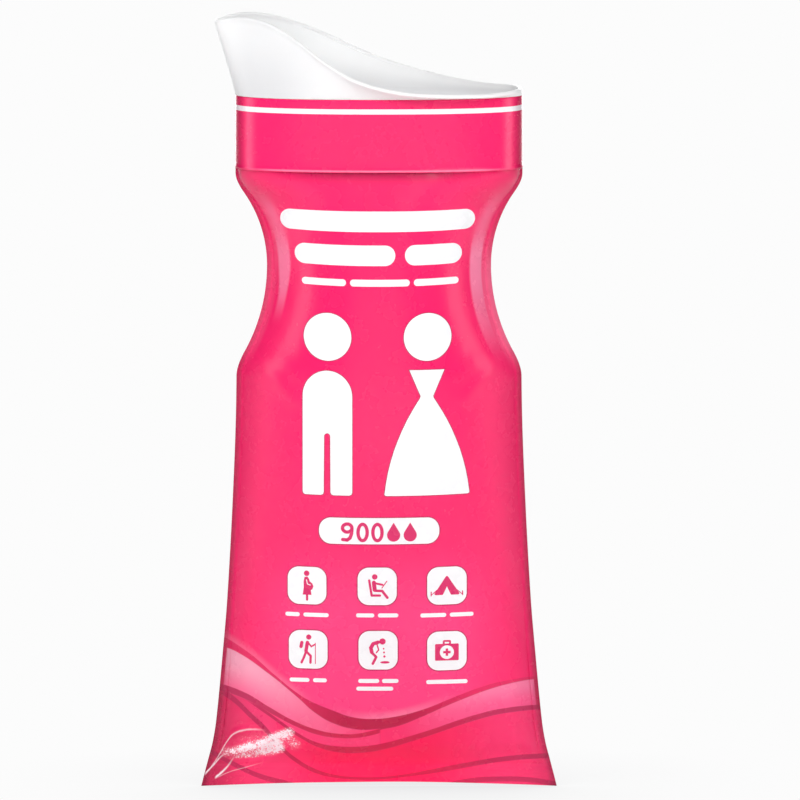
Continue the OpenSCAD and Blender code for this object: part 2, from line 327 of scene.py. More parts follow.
def slab(outer, inner, flip=False):
    """Closed thin solid between two grids of points, each (rows, columns, 3)."""
    rows, columns = outer.shape[:2]
    back = rows * columns                    # number of the first inner point
    turn = [0, 3, 2, 1]
    verts = np.concatenate([outer.reshape(-1, 3), inner.reshape(-1, 3)])
    row, column = np.meshgrid(np.arange(rows - 1), np.arange(columns - 1), indexing="ij")
    first = (row * columns + column).ravel()
    quads = np.stack([first, first + 1, first + columns + 1, first + columns], 1)
    faces = [quads, back + quads[:, turn]]
    row_start = np.arange(columns - 1)
    column_start = np.arange(rows - 1) * columns
    for first, step, turned in ((row_start, 1, True),
                                (row_start + (rows - 1) * columns, 1, False),
                                (column_start, columns, False),
                                (column_start + columns - 1, columns, True)):
        quads = np.stack([first, first + step, back + first + step, back + first], 1)
        faces.append(quads[:, turn] if turned else quads)
    faces = np.concatenate(faces)
    return verts, (faces[:, ::-1] if flip else faces)


def rings(loops, close=True):
    """Shell through loops of points, each (n, 3); when closed, the last joins the first."""
    count, size = len(loops), len(loops[0])
    i, j = np.meshgrid(np.arange(count if close else count - 1), np.arange(size),
                       indexing="ij")
    i, j = i.ravel(), j.ravel()
    next_i, next_j = (i + 1) % count, (j + 1) % size
    faces = np.stack([i * size + j, i * size + next_j, next_i * size + next_j,
                      next_i * size + j], 1)
    return np.concatenate(loops), faces


def oval_loop(half, z, angles=np.linspace(0, TAU, 360, endpoint=False)):
    x, y = oval(half, angles)
    return np.stack([x, y, np.full(len(angles), z)], 1)


def oval_shell(stations):
    """Closed shell through ovals, each ((half width, half depth), z)."""
    return rings([oval_loop(half, z) for half, z in stations])


# ---------------------------------------------------------------- shader helpers
def rgb(*levels):
    """Linear colour from red, green and blue out of 255."""
    level = np.array(levels, float) / 255
    level = np.where(level <= 0.04045, level / 12.92, ((level + 0.055) / 1.055) ** 2.4)
    return (*level.tolist(), 1.0)


class Value:
    """An output of a shader node. Arithmetic with it makes Math nodes."""

    def __init__(self, tree, node, output=0):
        self.tree, self.node, self.output = tree, node, output

    def other(self, output):
        return Value(self.tree, self.node, output)

    def math(self, operation, first, second=0.0, third=None):
        inputs = {0: first, 1: second}
        if third is not None:
            inputs[2] = third
        return add_node(self.tree, "Math", inputs, operation=operation)

    def __add__(self, other):
        return self.math("ADD", self, other)

    def __radd__(self, other):
        return self.math("ADD", other, self)

    def __sub__(self, other):
        return self.math("SUBTRACT", self, other)

    def __rsub__(self, other):
        return self.math("SUBTRACT", other, self)

    def __mul__(self, other):
        return self.math("MULTIPLY", self, other)

    def __truediv__(self, other):
        return self.math("DIVIDE", self, other)

    def __pow__(self, other):
        return self.math("POWER", self, other)

    def __abs__(self):
        return self.math("ABSOLUTE", self)


def fill(tree, node, inputs):
    """Link or set a node's inputs."""
    for name, value in inputs.items():
        if isinstance(value, Value):
            tree.links.new(value.node.outputs[value.output], node.inputs[name])
        else:
            node.inputs[name].default_value = value


def add_node(tree, kind, inputs={}, output=0, **settings):
    node = tree.nodes.new("ShaderNode" + kind)
    for name, setting in settings.items():
        setattr(node, name, setting)
    fill(tree, node, inputs)
    return Value(tree, node, output)


def linear(value, slope, offset):
    return value.math("MULTIPLY_ADD", value, slope, offset)


def largest(first, second):
    return first.math("MAXIMUM", first, second)


def fade(value, zero_at, one_at):
    """Smooth step from 0 at zero_at to 1 at one_at, whichever is the higher."""
    falls = zero_at > one_at
    inputs = {"Value": value, "From Min": min(zero_at, one_at), "From Max": max(zero_at, one_at),
              "To Min": 1.0 if falls else 0.0, "To Max": 0.0 if falls else 1.0}
    return add_node(value.tree, "MapRange", inputs, "Result", interpolation_type="SMOOTHSTEP")


def mix(share, under, over):
    """The colour under, covered by the given share of the colour over."""
    return add_node(share.tree, "Mix", {0: share, 6: under, 7: over}, 2, data_type="RGBA")


class Material:
    """A Principled material with textures laid out in mm at rest."""

    def __init__(self, name):
        self.data = bpy.data.materials.new(name)
        self.data.use_nodes = True
        self.tree = self.data.node_tree
        self.tree.nodes.clear()
        self.result = add_node(self.tree, "OutputMaterial")
        self.principled = add_node(self.tree, "BsdfPrincipled")
        self.show(self.principled)

    def show(self, shader):
        fill(self.tree, self.result.node, {0: shader})

    def set(self, **inputs):
        named = {name.replace("_", " "): value for name, value in inputs.items()}
        fill(self.tree, self.principled.node, named)

    def attribute(self, name, output="Fac"):
        return add_node(self.tree, "Attribute", output=output, attribute_name=name)

    @cached_property
    def rest(self):
        return self.attribute("rest", "Vector")

    @cached_property
    def xyz(self):
        split = add_node(self.tree, "SeparateXYZ", {0: self.rest})
        return split, split.other(1), split.other(2)

    def stretched(self, factors):
        if factors is None:
            return self.rest
        return add_node(self.tree, "VectorMath", {0: self.rest, 1: factors},
                        operation="MULTIPLY")

    def noise(self, scale, detail=2.0, rough=0.5, stretch=None):
        inputs = {"Vector": self.stretched(stretch), "Scale": scale, "Detail": detail,
                  "Roughness": rough}
        return add_node(self.tree, "TexNoise", inputs, "Fac")

    def bump(self, height, strength, distance, normal=None):
        inputs = {"Strength": strength, "Distance": distance, "Height": height}
        if normal is not None:
            inputs["Normal"] = normal
        return add_node(self.tree, "Bump", inputs)

    def line(self, points):
        """z of a printed line as a function of x, within x -70..70 and z -10..70."""
        curve = add_node(self.tree, "FloatCurve",
                         {"Value": linear(self.xyz[0], 1 / 140, 0.5)})
        mapping = curve.node.mapping
        dots = mapping.curves[0].points
        points = [((x + 70) / 140, (z + 10) / 80) for x, z in points]
        dots[0].location = points[0]
        dots[1].location = points[-1]
        for point in points[1:-1]:
            dots.new(*point)
        mapping.extend = "HORIZONTAL"
        mapping.update()
        return linear(curve, 80, -10)


# ---------------------------------------------------------------- print colours and lines
PINK = rgb(255, 32, 107)
PINK_LOW = rgb(255, 64, 132)
DARK = rgb(192, 10, 70)
DARK_SIDE = rgb(232, 34, 96)
WHITE_INK = rgb(249, 249, 251)
INK_PINK = rgb(222, 44, 106)
INK_EDGE = rgb(190, 34, 84)

# printed wave lines at the foot, (x, z) points from left to right
WAVE_LINES = {
    "crest": [
        (-70, 62), (-55.9, 54.3), (-46.4, 48.6), (-38.2, 41.8), (-29.9, 35.2), (-25.8, 32.6),
        (-16.7, 28.7), (-9.4, 26.2), (-1.9, 25.6), (7.1, 26.7), (16.2, 29.2), (26.1, 33.1),
        (36, 36.7), (45.8, 39), (70, 40)],
    "left_top": [
        (-70, 54), (-55, 50.4), (-50.5, 48.6), (-40.6, 42.4), (-29.9, 33.9), (-23.3, 28),
        (-16.7, 24), (-10.2, 22), (-5.2, 21.5), (0, 21.9), (8, 23), (70, 60)],
    "left_dark_top": [
        (-70, 40), (-56.3, 37), (-48, 34.2), (-39.8, 29.5), (-31.6, 24.9), (-23.3, 21.5),
        (-15.1, 19.8), (-8.5, 19.8), (-1.9, 21.2), (0.5, 21.9), (10, 26), (70, 60)],
    "left_dark_low": [
        (-70, 37), (-55.9, 34.4), (-46.4, 31.2), (-38.2, 26.6), (-29.9, 22.3), (-21.7, 19.2),
        (-13.5, 18.1), (-6.9, 18.4), (1.4, 20.5), (9.6, 23.4), (70, 50)],
    "right_top": [
        (-70, -10), (-10, 18), (0.5, 21.5), (7.1, 23), (15.4, 26.4), (23.6, 30.1),
        (31.9, 33.4), (40.1, 36.2), (48.3, 38.1), (54.5, 38.9), (70, 39.5)],
    "long_dark_top": [
        (-70, 50), (-50, 35), (-42.3, 29.2), (-35.7, 24.4), (-29.9, 20.2), (-24.2, 17),
        (-18.4, 15.3), (-13.5, 14.8), (-5.2, 15), (3, 16.5), (11.2, 18.9), (19.5, 21.6),
        (27.7, 24.5), (36, 27), (44.2, 28.7), (58.2, 29.6), (70, 29.6)],
    "long_dark_low": [
        (-70, 48), (-50, 33), (-40.6, 26.6), (-34.1, 21.9), (-28.3, 17.9), (-21.7, 14.4),
        (-13.5, 12.4), (-5.2, 12.5), (3, 14.1), (11.2, 16.7), (19.5, 19.5), (27.7, 22.4),
        (36, 25), (44.2, 26.8), (58.2, 27.9), (70, 28)],
    "low_ribbon": [
        (-70, 42), (-56.7, 34.4), (-52.2, 31.4), (-46.4, 26), (-41.5, 21.4), (-36.5, 15.4),
        (-29.9, 9.2), (-23.3, 5.5), (-16.7, 3.6), (-9.4, 2.8), (-0.3, 2.7), (9.6, 3.7),
        (19.5, 5.3), (31.9, 7.6), (44.2, 9.7), (60.7, 11), (70, 11.3)],
    "foot_ribbon": [
        (-70, 17.5), (-61.6, 12.9), (-56.3, 9.8), (-50.5, 6.8), (-43.9, 3.8), (-35.7, 1.5),
        (-20, -2), (15, -2), (32.7, 1.8), (44.2, 2.5), (56.5, 2), (63, 0.9), (70, 0)]}
# painted highlight lines along the creases in the left corner: (x, z) points, first x, last x,
# width, strength
GLARE_LINES = (
    ([(-70, -4), (-63.3, 4.0), (-60, 8.2), (-57.4, 12.4), (-55.2, 16.2), (-52.6, 19.2),
      (-49, 20.6), (-45, 21), (-40, 20.6), (70, 20)], -63.5, -40, 0.62, 0.62),
    ([(-70, -3), (-63.3, 4.3), (-59.8, 7.9), (-56.4, 11.4), (-53.5, 12.6), (70, 13)],
     -63.5, -53.5, 0.66, 0.92),
    ([(-70, -2), (-60.2, 2.6), (-57.2, 4.9), (-54.6, 7.6), (-52.2, 10.9), (-50, 12.4),
      (70, 30)], -59.8, -50.5, 0.85, 0.95),
    ([(-70, -2), (-59.8, 2.6), (-54, 5.2), (-49, 6.6), (-41, 8.8), (70, 30)],
     -59.8, -41, 0.32, 0.34))


# ---------------------------------------------------------------- pink film materials
def print_waves(mat, edge, colour):
    """The printed waves at the foot, over the base colour."""
    x, _, z = mat.xyz
    line = {name: mat.line(points) for name, points in WAVE_LINES.items()}
    soft = 0.16                              # blur of an ink edge
    middle = -1.0                            # x of the lowest place of the crest
    across = abs(x)
    inside = fade(edge, 1.25, 1.6)
    left = fade(x, 0.7, -0.1)
    right = 1.0 - left

    def under(name, blur=soft):
        return fade(line[name] - z, -blur, blur)

    # a light sheen above the crest, then the dark hollow under it
    above = z - line["crest"]
    sheen = fade(above, 3.6, 0.0) * fade(above, -0.2, 0.0)
    sheen = sheen * largest(fade(x, -20, 2) * fade(x, 30, 8), fade(x, -22, -32) * 0.6)
    colour = mix(sheen * 0.42, colour, rgb(255, 168, 196))
    hollow = mix(fade(abs(x - middle), 10, 40), DARK, DARK_SIDE)
    colour = mix(under("crest"), colour, hollow)
    # left ribbon: pale at its upper end
    pale = fade(x, -14, -54) * fade(z - line["left_dark_top"], -2, 11)
    light = mix(fade(x, 2, -26), rgb(255, 58, 122), rgb(255, 104, 150))
    light = mix(pale, light, rgb(252, 170, 194))
    colour = mix(under("left_top") * left * inside, colour, light)
    # right ribbon, and the pink between the dark ribbons at the left
    pale = fade(x, 8, 44) * fade(z - line["long_dark_top"], 0.5, 9) * 0.55
    light = mix(fade(x, 2, 34), rgb(255, 44, 112), rgb(255, 86, 142))
    light = mix(pale, light, rgb(255, 148, 184))
    colour = mix(under("right_top") * right * inside, colour, light)
    between = mix(fade(x, -34, -52), rgb(255, 60, 122), rgb(232, 48, 106))
    colour = mix(under("left_dark_low") * left, colour, between)
    # the field below: crimson in the middle, pink at the sides
    field = mix(fade(across, 12, 46), rgb(255, 2, 88), rgb(250, 46, 110))
    colour = mix(under("long_dark_low", 0.3) * fade(x, -42, -34), colour, field)
    field = mix(fade(x, -46, -60), rgb(246, 46, 106), rgb(214, 34, 88))
    colour = mix(under("low_ribbon", 0.5) * fade(x, -28, -36), colour, field)
    # dark ribbons: two between a top and a low line, two of a width about a line
    dark = mix(fade(across, 14, 52), rgb(204, 0, 66), rgb(184, 28, 82))
    cover = under("left_dark_top") * (1.0 - under("left_dark_low")) * left
    long_dark = under("long_dark_top") * (1.0 - under("long_dark_low")) * fade(x, -52, -43)
    cover = largest(cover, long_dark)
    half = 0.46 + fade(abs(x + 2), 7, 30) * 0.44 + fade(x, -34, -42) * 0.28
    off = abs(z - line["low_ribbon"])
    cover = largest(cover, fade(off - half, soft, -soft) * fade(x, -57.5, -56))
    off = abs(z - line["foot_ribbon"])
    cover = largest(cover, fade(off, 0.92 + soft, 0.92 - soft) * 0.9)
    colour = mix(cover * 0.92, colour, dark)
    # fine dark outlines on the ribbons' upper edges
    outline = fade(abs(z - line["left_top"]), 0.30, 0.10) * left * (inside * fade(x, -50, -40))
    other = fade(abs(z - line["right_top"]), 0.30, 0.10) * right * (inside * 0.6)
    return mix(largest(outline, other) * 0.55, colour, rgb(184, 16, 70))


def film_finish(mat, ribs=0.0):
    """Glossy laminate: a taut, faintly rippled film with fine grain."""
    broad = mat.noise(0.055, detail=3, stretch=(1, 1, 0.55))
    fine = mat.noise(0.9, detail=3, rough=0.6)
    grain = mat.noise(9.0)
    height = broad * 1.0 + (fine * 0.03 + grain * 0.004)
    normal = mat.bump(height, strength=0.35, distance=0.0012)
    if ribs:
        bars = add_node(mat.tree, "TexWave", {"Vector": mat.rest, "Scale": 0.32}, "Fac",
                        wave_type="BANDS", bands_direction="Z")
        normal = mat.bump(bars, ribs, 0.0002, normal)
    rough = linear(mat.noise(0.12, detail=3, rough=0.6), 0.10, 0.22)
    mat.set(Roughness=rough, Normal=normal, IOR=1.5, Specular_IOR_Level=0.42,
            Coat_Weight=0.14, Coat_Roughness=0.1)


def base_pink(mat):
    """Pink, paler low in the middle."""
    x, _, z = mat.xyz
    low = fade(z, 96, 62) * fade(abs(x), 50, 24)
    return mix(low * 0.9, PINK, PINK_LOW)


# paints shade (dark) and a highlight streak into the colour
def paint_edge_shade_and_highlight(colour, dark, streak):
    colour = mix(dark, colour, rgb(116, 8, 46))
    return mix(streak, colour, rgb(255, 164, 198))


def uneven_ink(mat, colour):
    patches = fade(mat.noise(0.03), 0.3, 0.8)
    return mix(patches * 0.06, colour, rgb(242, 34, 96))


def painted_edge_light(mat, edge, colour):
    """Painted highlight streak beside each edge of neck and waist, and painted shade darker at the
    edge.
    """
    x, _, z = mat.xyz
    right = fade(x, -10, 10)
    off = abs(edge - linear(right, -0.8, 6.4))         # distance from the streak's middle
    slim = (1.0 - right) * fade(z, 192, 178) * 0.8
    crisp = fade(off + slim, 2.7, 1.6)
    loose = fade(off, 4.2, 0.2) * 0.62
    high = fade(z, NECK_LOW - 32, NECK_LOW - 20)
    streak = crisp * (1.0 - high) + loose * high
    low_end = fade(z, 152, 176) * right + fade(z, 168, 184) * (1.0 - right)
    streak = streak * (low_end * fade(z, NECK_LOW - 6, NECK_LOW - 16))
    more = linear(right, 0.14, 0.05) * fade(z, 172, 186) * (1.0 - high)
    streak = streak * (more + 0.45)
    tail = fade(edge, 4.6, 3.0) * linear(right, 0.16, 0.10)
    tail = tail * (fade(z, 208, 184) * fade(z, 150, 164))
    broad = fade(edge, 13, -4) * linear(fade(z, 146, 166), -0.22, 0.38)
    dark = fade(edge, 2.8, 0.5) * 0.36 + broad
    return paint_edge_shade_and_highlight(colour, dark, largest(streak, tail))


def painted_crease_glare(mat, colour):
    """Painted glare where the film has been creased: specks, haze and thin highlight lines."""
    x, y, z = mat.xyz
    glint = mat.attribute("glint")
    grain = mat.noise(1.5, detail=3, rough=0.9) * 0.8 + mat.noise(0.5, rough=0.6) * 0.2
    speck = fade(glint * 0.74 + (grain - 0.5) * 3.4, 0.44, 0.54)
    speck = speck * fade(glint, 0.10, 0.45) * 0.98
    haze = fade(glint, 0.05, 1.0) * 0.30
    glare_line = None
    for points, first, last, width, strength in GLARE_LINES:
        curve = mat.line(points)
        thin = linear(mat.noise(0.6), 0.9, 0.5) * width
        mark = fade(abs(z - curve) / thin, 1.1, 0.0) ** 1.4
        ends = fade(x, first, first + 0.8) * fade(x, last, last - 7)
        mark = mark * ends * strength
        glare_line = mark if glare_line is None else largest(glare_line, mark)
    glare_line = glare_line * fade(y, 0.9, 0.3)                    # on the front only
    white = largest(largest(speck, haze), glare_line)
    return mix(white, colour, rgb(255, 243, 248))


def pouch_material(name, ribs=0.0):
    mat = Material(name)
    x, _, z = mat.xyz
    edge = mat.attribute("edge")
    colour = print_waves(mat, edge, base_pink(mat))
    # painted shade at the edges and painted highlight streaks beside them
    colour = painted_edge_light(mat, edge, colour)
    # shadow line where the film goes under the band
    shadow = fade(z, NECK_LOW - 6, NECK_LOW - 0.1) ** 2.2
    shadow = shadow * (1.0 - fade(abs(x), 16, 46) * 0.8)
    colour = mix(shadow * 0.66, colour, rgb(124, 2, 48))
    # the painted crease glare goes over the ink
    mat.set(Base_Color=painted_crease_glare(mat, uneven_ink(mat, colour)))
    film_finish(mat, ribs)
    return mat.data


def band_material(name, stripe_low, stripe_top):
    """Pink with a white stripe round it, painted shade and a painted highlight streak at the sides,
    and a painted highlight on the rolled edge.
    """
    mat = Material(name)
    x, _, z = mat.xyz
    edge = mat.attribute("edge")
    # painted highlight streak and painted shade towards the sides
    streak = fade(abs(edge - 5.2), 2.9, 0.3) * 0.62 * 0.14
    dark = fade(edge, 4.4, 0.9) * 0.5
    colour = paint_edge_shade_and_highlight(base_pink(mat), dark, streak)
    # painted highlight along the rolled edge of the band, where it would catch the light
    rolled_edge_highlight = fade(abs(z - (NECK_LOW + 0.62)), 0.52, 0.12) * fade(abs(x), 50, 34)
    colour = mix(rolled_edge_highlight * 0.5, colour, rgb(255, 168, 200))
    stripe = (fade(z, stripe_low - 0.05, stripe_low + 0.05)
              * fade(z, stripe_top + 0.05, stripe_top - 0.05))
    # the white stripe is greyed by the same painted shade at the sides
    colour = mix(stripe, colour, mix(dark, WHITE_INK, rgb(206, 176, 188)))
    mat.set(Base_Color=uneven_ink(mat, colour))
    film_finish(mat)
    return mat.data


# ---------------------------------------------------------------- other materials
def ink_material(name, colour):
    mat = Material(name)
    blotch = fade(mat.noise(0.5, detail=3, rough=0.6), 0.4, 0.8)
    darker = tuple(level * 0.86 for level in colour[:3]) + (1.0,)
    mat.set(Base_Color=mix(blotch * 0.05, colour, darker))
    film_finish(mat)
    return mat.data


def moulded_material():
    """White plastic with painted shade: greyer inside the bore and on the front left of the beak."""
    mat = Material("moulded_white")
    x, y, z = mat.xyz
    mottle = mat.noise(0.5, detail=3, rough=0.55)
    height = mat.noise(0.05) * 0.5 + (mottle * 0.05 + mat.noise(6.0) * 0.012)
    patches = fade(mat.noise(0.04, detail=3), 0.4, 0.8)
    white = mix(patches * 0.2, rgb(250, 250, 250), rgb(245, 245, 246))
    # painted shade down the inner wall and in the bore
    white = mix(mat.attribute("inner_shade") * 0.42, white, rgb(200, 200, 203))
    # painted shade on the front left of the beak
    shade = (fade(x, -10, -40) * (1.0 - fade(x, -46, -58) * 0.7)
             * linear(fade(z, NECK_TOP + 26, NECK_TOP + 1), 0.5, 0.4))
    white = mix(shade * fade(y, 6, -4), white, rgb(219, 219, 221))
    mat.set(Base_Color=white, Roughness=linear(mottle, 0.12, 0.30), IOR=1.5,
            Subsurface_Weight=0.12, Subsurface_Scale=0.002,
            Subsurface_Radius=(1.0, 0.9, 0.85),
            Normal=mat.bump(height, strength=0.25, distance=0.0008),
            Coat_Weight=0.12, Coat_Roughness=0.2)
    return mat.data


def clear_film_material():
    mat = Material("clear_film")
    height = mat.noise(0.12, detail=3, rough=0.6, stretch=(1, 1, 0.4)) + mat.noise(1.2) * 0.1
    mat.set(Base_Color=rgb(232, 240, 244), Roughness=0.18, IOR=1.45,
            Transmission_Weight=0.35, Alpha=0.72,
            Normal=mat.bump(height, strength=0.5, distance=0.0012))
    return mat.data


def cloth_material():
    """Non-woven cloth with embossed dots."""
    mat = Material("non_woven")
    dots = add_node(mat.tree, "TexVoronoi", {"Vector": mat.stretched((1, 0.2, 1)),
                                             "Scale": 0.55, "Randomness": 0.15}, "Distance")
    fibre = mat.noise(1.6, detail=5, rough=0.75, stretch=(1, 1, 3))
    height = fade(dots, 0.15, 0.4) * 0.8 + fibre * 0.4
    colour = mix(fade(fibre, 0.35, 0.7), rgb(226, 226, 220), rgb(246, 246, 243))
    mat.set(Base_Color=colour, Roughness=0.9, Sheen_Weight=0.3,
            Normal=mat.bump(height, strength=0.6, distance=0.0004))
    return mat.data


def bead_material():
    mat = Material("gel_beads")
    mat.set(Base_Color=mix(mat.noise(0.4), rgb(214, 222, 230), rgb(246, 248, 250)),
            Roughness=0.35, Subsurface_Weight=0.3, Subsurface_Scale=0.001,
            Normal=mat.bump(mat.noise(3.0, detail=3), strength=0.4, distance=0.0003))
    return mat.data


film_mat = pouch_material("printed_film")
seal_mat = pouch_material("sealed_film", ribs=0.08)
band_mat = band_material("band_film", NECK_TOP - 5.2, NECK_TOP - 3.35)
white_ink = ink_material("white_ink", WHITE_INK)
pink_ink = ink_material("pink_ink", INK_PINK)
edge_ink = ink_material("edge_ink", INK_EDGE)
mouth_mat = moulded_material()
valve_mat = clear_film_material()
cloth_mat = cloth_material()
bead_mat = bead_material()


# ---------------------------------------------------------------- pouch film and seals
def film_skin(side, face):
    heights = np.concatenate([np.linspace(7.7, 30, 66),
                              np.linspace(30, NECK_LOW - 8, 200)[1:],
                              np.linspace(NECK_LOW - 8, NECK_LOW + 8, 40)[1:]])
    z, angle = np.meshgrid(heights, np.linspace(0, math.pi, 241), indexing="ij")

    def sheet(inset):
        x = (tube_width(z) - inset) * signed_power(np.cos(angle), 2 / tube_power(z))
        depth = np.maximum(tube_depth(z) - inset, 0.02)
        y = depth * np.sin(angle) ** (2 * tube_pinch(z))
        return np.stack([x, side * (y + GAP + folds(x, z, side)), z], -1)

    verts, faces = slab(sheet(0), sheet(SKIN), flip=side > 0)
    piece = make(f"{face}_film_skin", verts, faces, film_mat, angle=50, glare_below=0)
    attach(piece, replaces=f"{face}_film")


def side_strip(side, hand):
    """Sealed edge down one side, with a rounded outer edge."""
    heights = np.concatenate([np.linspace(7.7, 30, 30),
                              np.linspace(30, NECK_LOW - 0.12, 190)[1:]])
    # stations across the strip: 0 at the tube's edge, 2 at the outer edge, then back
    across = [-0.9, -0.6, -0.35, -0.15, 0.0, 0.15, 0.32, 0.55, 0.85, 1.25, 1.65, 1.88, 1.97, 2.0]
    sign = np.array([-1.0] * (len(across) - 1) + [0.0] + [1.0] * (len(across) - 1))
    across = np.array(across + across[-2::-1])
    loops = []
    for z in heights:
        inner, outer = float(tube_width(z)), float(half_width(z))
        fillet = min(1.0, float(tube_depth(z)) / 16.0)     # closes where the pouch goes flat
        sway = 0.12 * math.sin(z * 0.21 + side) + 0.08 * math.sin(z * 0.47 + 2 * side)
        x = np.where(across > 0, inner + (outer - inner) * across / 2, inner + across)
        thick = (0.34 + 0.24 * fillet * np.exp(-np.maximum(across, 0) / 0.5)
                 + 0.5 * fillet * np.maximum(-across, 0))
        thick = (thick * np.sqrt(np.clip((2.0 - across) / 0.22, 0, 1))
                 + 0.02 * math.sin(z * 2.4) * (across < 1.9))
        y = sign * thick + sway * np.clip(across / 2, 0, 1) ** 2
        loops.append(np.stack([side * x, y, np.full(len(x), z)], 1))
    verts, faces = rings(loops, close=False)
    size = len(across)
    caps = [list(range(size))[::-1], [len(verts) - size + k for k in range(size)]]
    faces = faces.tolist() + caps
    if side < 0:
        faces = [face[::-1] for face in faces]
    piece = make(f"{hand}_seal_strip", verts, faces, seal_mat, angle=60, glare_below=0)
    attach(piece, replaces=f"side_seal_{hand}")


def foot_strip():
    """Flat fused strip with a bowed lower edge and fine bars pressed in."""
    up, across = np.meshgrid(np.linspace(0, 1, 41), np.linspace(-1, 1, 261), indexing="ij")
    low = foot_low[2] + 1.4 * (1 - across ** 2)
    z = low + (FOOT_TOP + 0.3 - low) * up
    x = across * half_width(z)
    bars = 0.012 * np.sin(z * TAU / 1.1) * ramp(up, 0.04, 0.12) * (1 - ramp(up, 0.86, 0.96))
    sway = (0.5 * np.sin(x * 0.055 + 0.8) * (1 - up)
            + 0.25 * np.sin(x * 0.13) * (1 - up) ** 2)
    thick = 0.38 * np.minimum(up / 0.02 + 0.45, 1)
    verts, faces = slab(np.stack([x, -thick - bars + sway, z], -1),
                        np.stack([x, thick + bars + sway, z], -1), flip=True)
    piece = make("foot_seal_strip", verts, faces, seal_mat, angle=50, glare_below=0.6)
    attach(piece, ride="pouch", replaces="foot_seal")


for side, face in SIDES:
    film_skin(side, face)
for side, hand in ((-1, "left"), (1, "right")):
    side_strip(side, hand)
foot_strip()


# ---------------------------------------------------------------- neck band and the film under it
def neck_band():
    # distance out from the neck oval, height on a band 25.5 tall
    profile = [(-0.45, 0.0), (0.02, 0.02), (0.12, 0.12), (0.2, 0.35), (0.2, 0.7),
               (0.16, 0.95), (0.09, 1.2), (0.03, 1.5), (0, 1.9)]
    profile += [(0.0, height) for height in np.linspace(3.5, 24.6, 24)]
    profile += [(-0.03, 25.1), (-0.12, 25.35), (-0.3, 25.48), (-0.5, 25.5)]
    profile += [(-BAND_T, height) for height in (25.4, 18, 9, 0.3)]
    scale = (NECK_TOP - NECK_LOW) / 25.5
    verts, faces = oval_shell((NECK + out, NECK_LOW + height * scale)
                              for out, height in profile)
    piece = make("neck_band_sleeve", verts, faces, band_mat, angle=60)
    attach(piece, ride="mouth", replaces="neck_band")


def neck_film():
    heights = [NECK_LOW + 0.3, NECK_LOW + 12, NECK_TOP - 0.6]
    verts, faces = oval_shell([(FILM, z) for z in heights]
                              + [(FILM - 0.3, z) for z in heights[::-1]])
    piece = make("neck_film_sleeve", verts, faces, film_mat, angle=60)
    attach(piece, ride="mouth", replaces="neck_film")


neck_band()
neck_film()

# ---------------------------------------------------------------- mouthpiece
# x (on a rim reaching LIP_REACH to the left), share of the beak's height
LIP_REACH = 60.3
front_lip = smooth_table([
    [-60.3, 0.934], [-50, 1], [-40, 0.944], [-30, 0.753], [-20, 0.497], [-10, 0.288],
    [0, 0.172], [10, 0.108], [20, 0.08], [30, 0.069], [40, 0.066], [51.9, 0.087]])
back_lip = smooth_table([
    [-60.3, 0.934], [-50, 1], [-40, 0.955], [-30, 0.844], [-20, 0.701], [-10, 0.542],
    [0, 0.392], [10, 0.278], [20, 0.188], [30, 0.118], [40, 0.08], [51.9, 0.087]])


def rim_half_depth(x, left, right, depth):
    """Half depth of the rim at x: round at the low right end, pointed at the tall left."""
    low_end = depth * np.maximum(0, 1 - (np.maximum(x, 0) / right) ** 2.6) ** 0.4545
    from_tip = left + np.minimum(x, 0)
    tall_end = (depth * np.maximum(0, 1 - (np.maximum(-x, 0) / left) ** 2.8) ** 1.12
                + np.sqrt(np.maximum(0, 3 * from_tip)) * np.exp(-from_tip / 5))
    return np.where(x > 0, low_end, tall_end)


def rim_point(angle, inset):
    left, right = MOUTH_LEFT - inset * 1.5, MOUTH_RIGHT - inset
    x = (right - left) / 2 + (right + left) / 2 * np.cos(angle)
    full = rim_half_depth(x, left, right, RIM_DEPTH - inset)
    y = np.sign(np.sin(angle)) * full
    y = np.where(np.abs(np.sin(angle)) < 1e-9, 0, y)
    front = np.where(full < 0.01, 0.5, (1 - y / np.maximum(full, 0.01)) / 2)
    at = x / MOUTH_LEFT * LIP_REACH
    height = back_lip(at) * (1 - front) + front_lip(at) * front
    return np.stack([x, y, NECK_TOP + BEAK_HEIGHT * height], 1)


def rim_angles():
    """Angles evenly spaced along the rim, so that the beak keeps its points."""
    fine = np.linspace(0, TAU, 6001)
    rim = rim_point(fine[:-1], 0)
    steps = np.linalg.norm(np.diff(np.vstack([rim, rim[:1]]), axis=0), axis=1) + 0.01
    run = np.concatenate([[0], np.cumsum(steps)])
    return np.interp(np.linspace(0, run[-1], 420, endpoint=False), run, fine)


def wall_point(angle, share, inset):
    """Point on the wall, share of the way up from the neck oval to the rim."""
    x, y = oval(NECK + 0.1 - inset, angle)
    rim = rim_point(angle, inset)
    lean = share ** 1.12
    base = NECK_TOP + GAP
    return np.stack([x + (rim[:, 0] - x) * lean, y + (rim[:, 1] - y) * lean,
                     base + (rim[:, 2] - NECK_TOP - GAP) * share], 1)


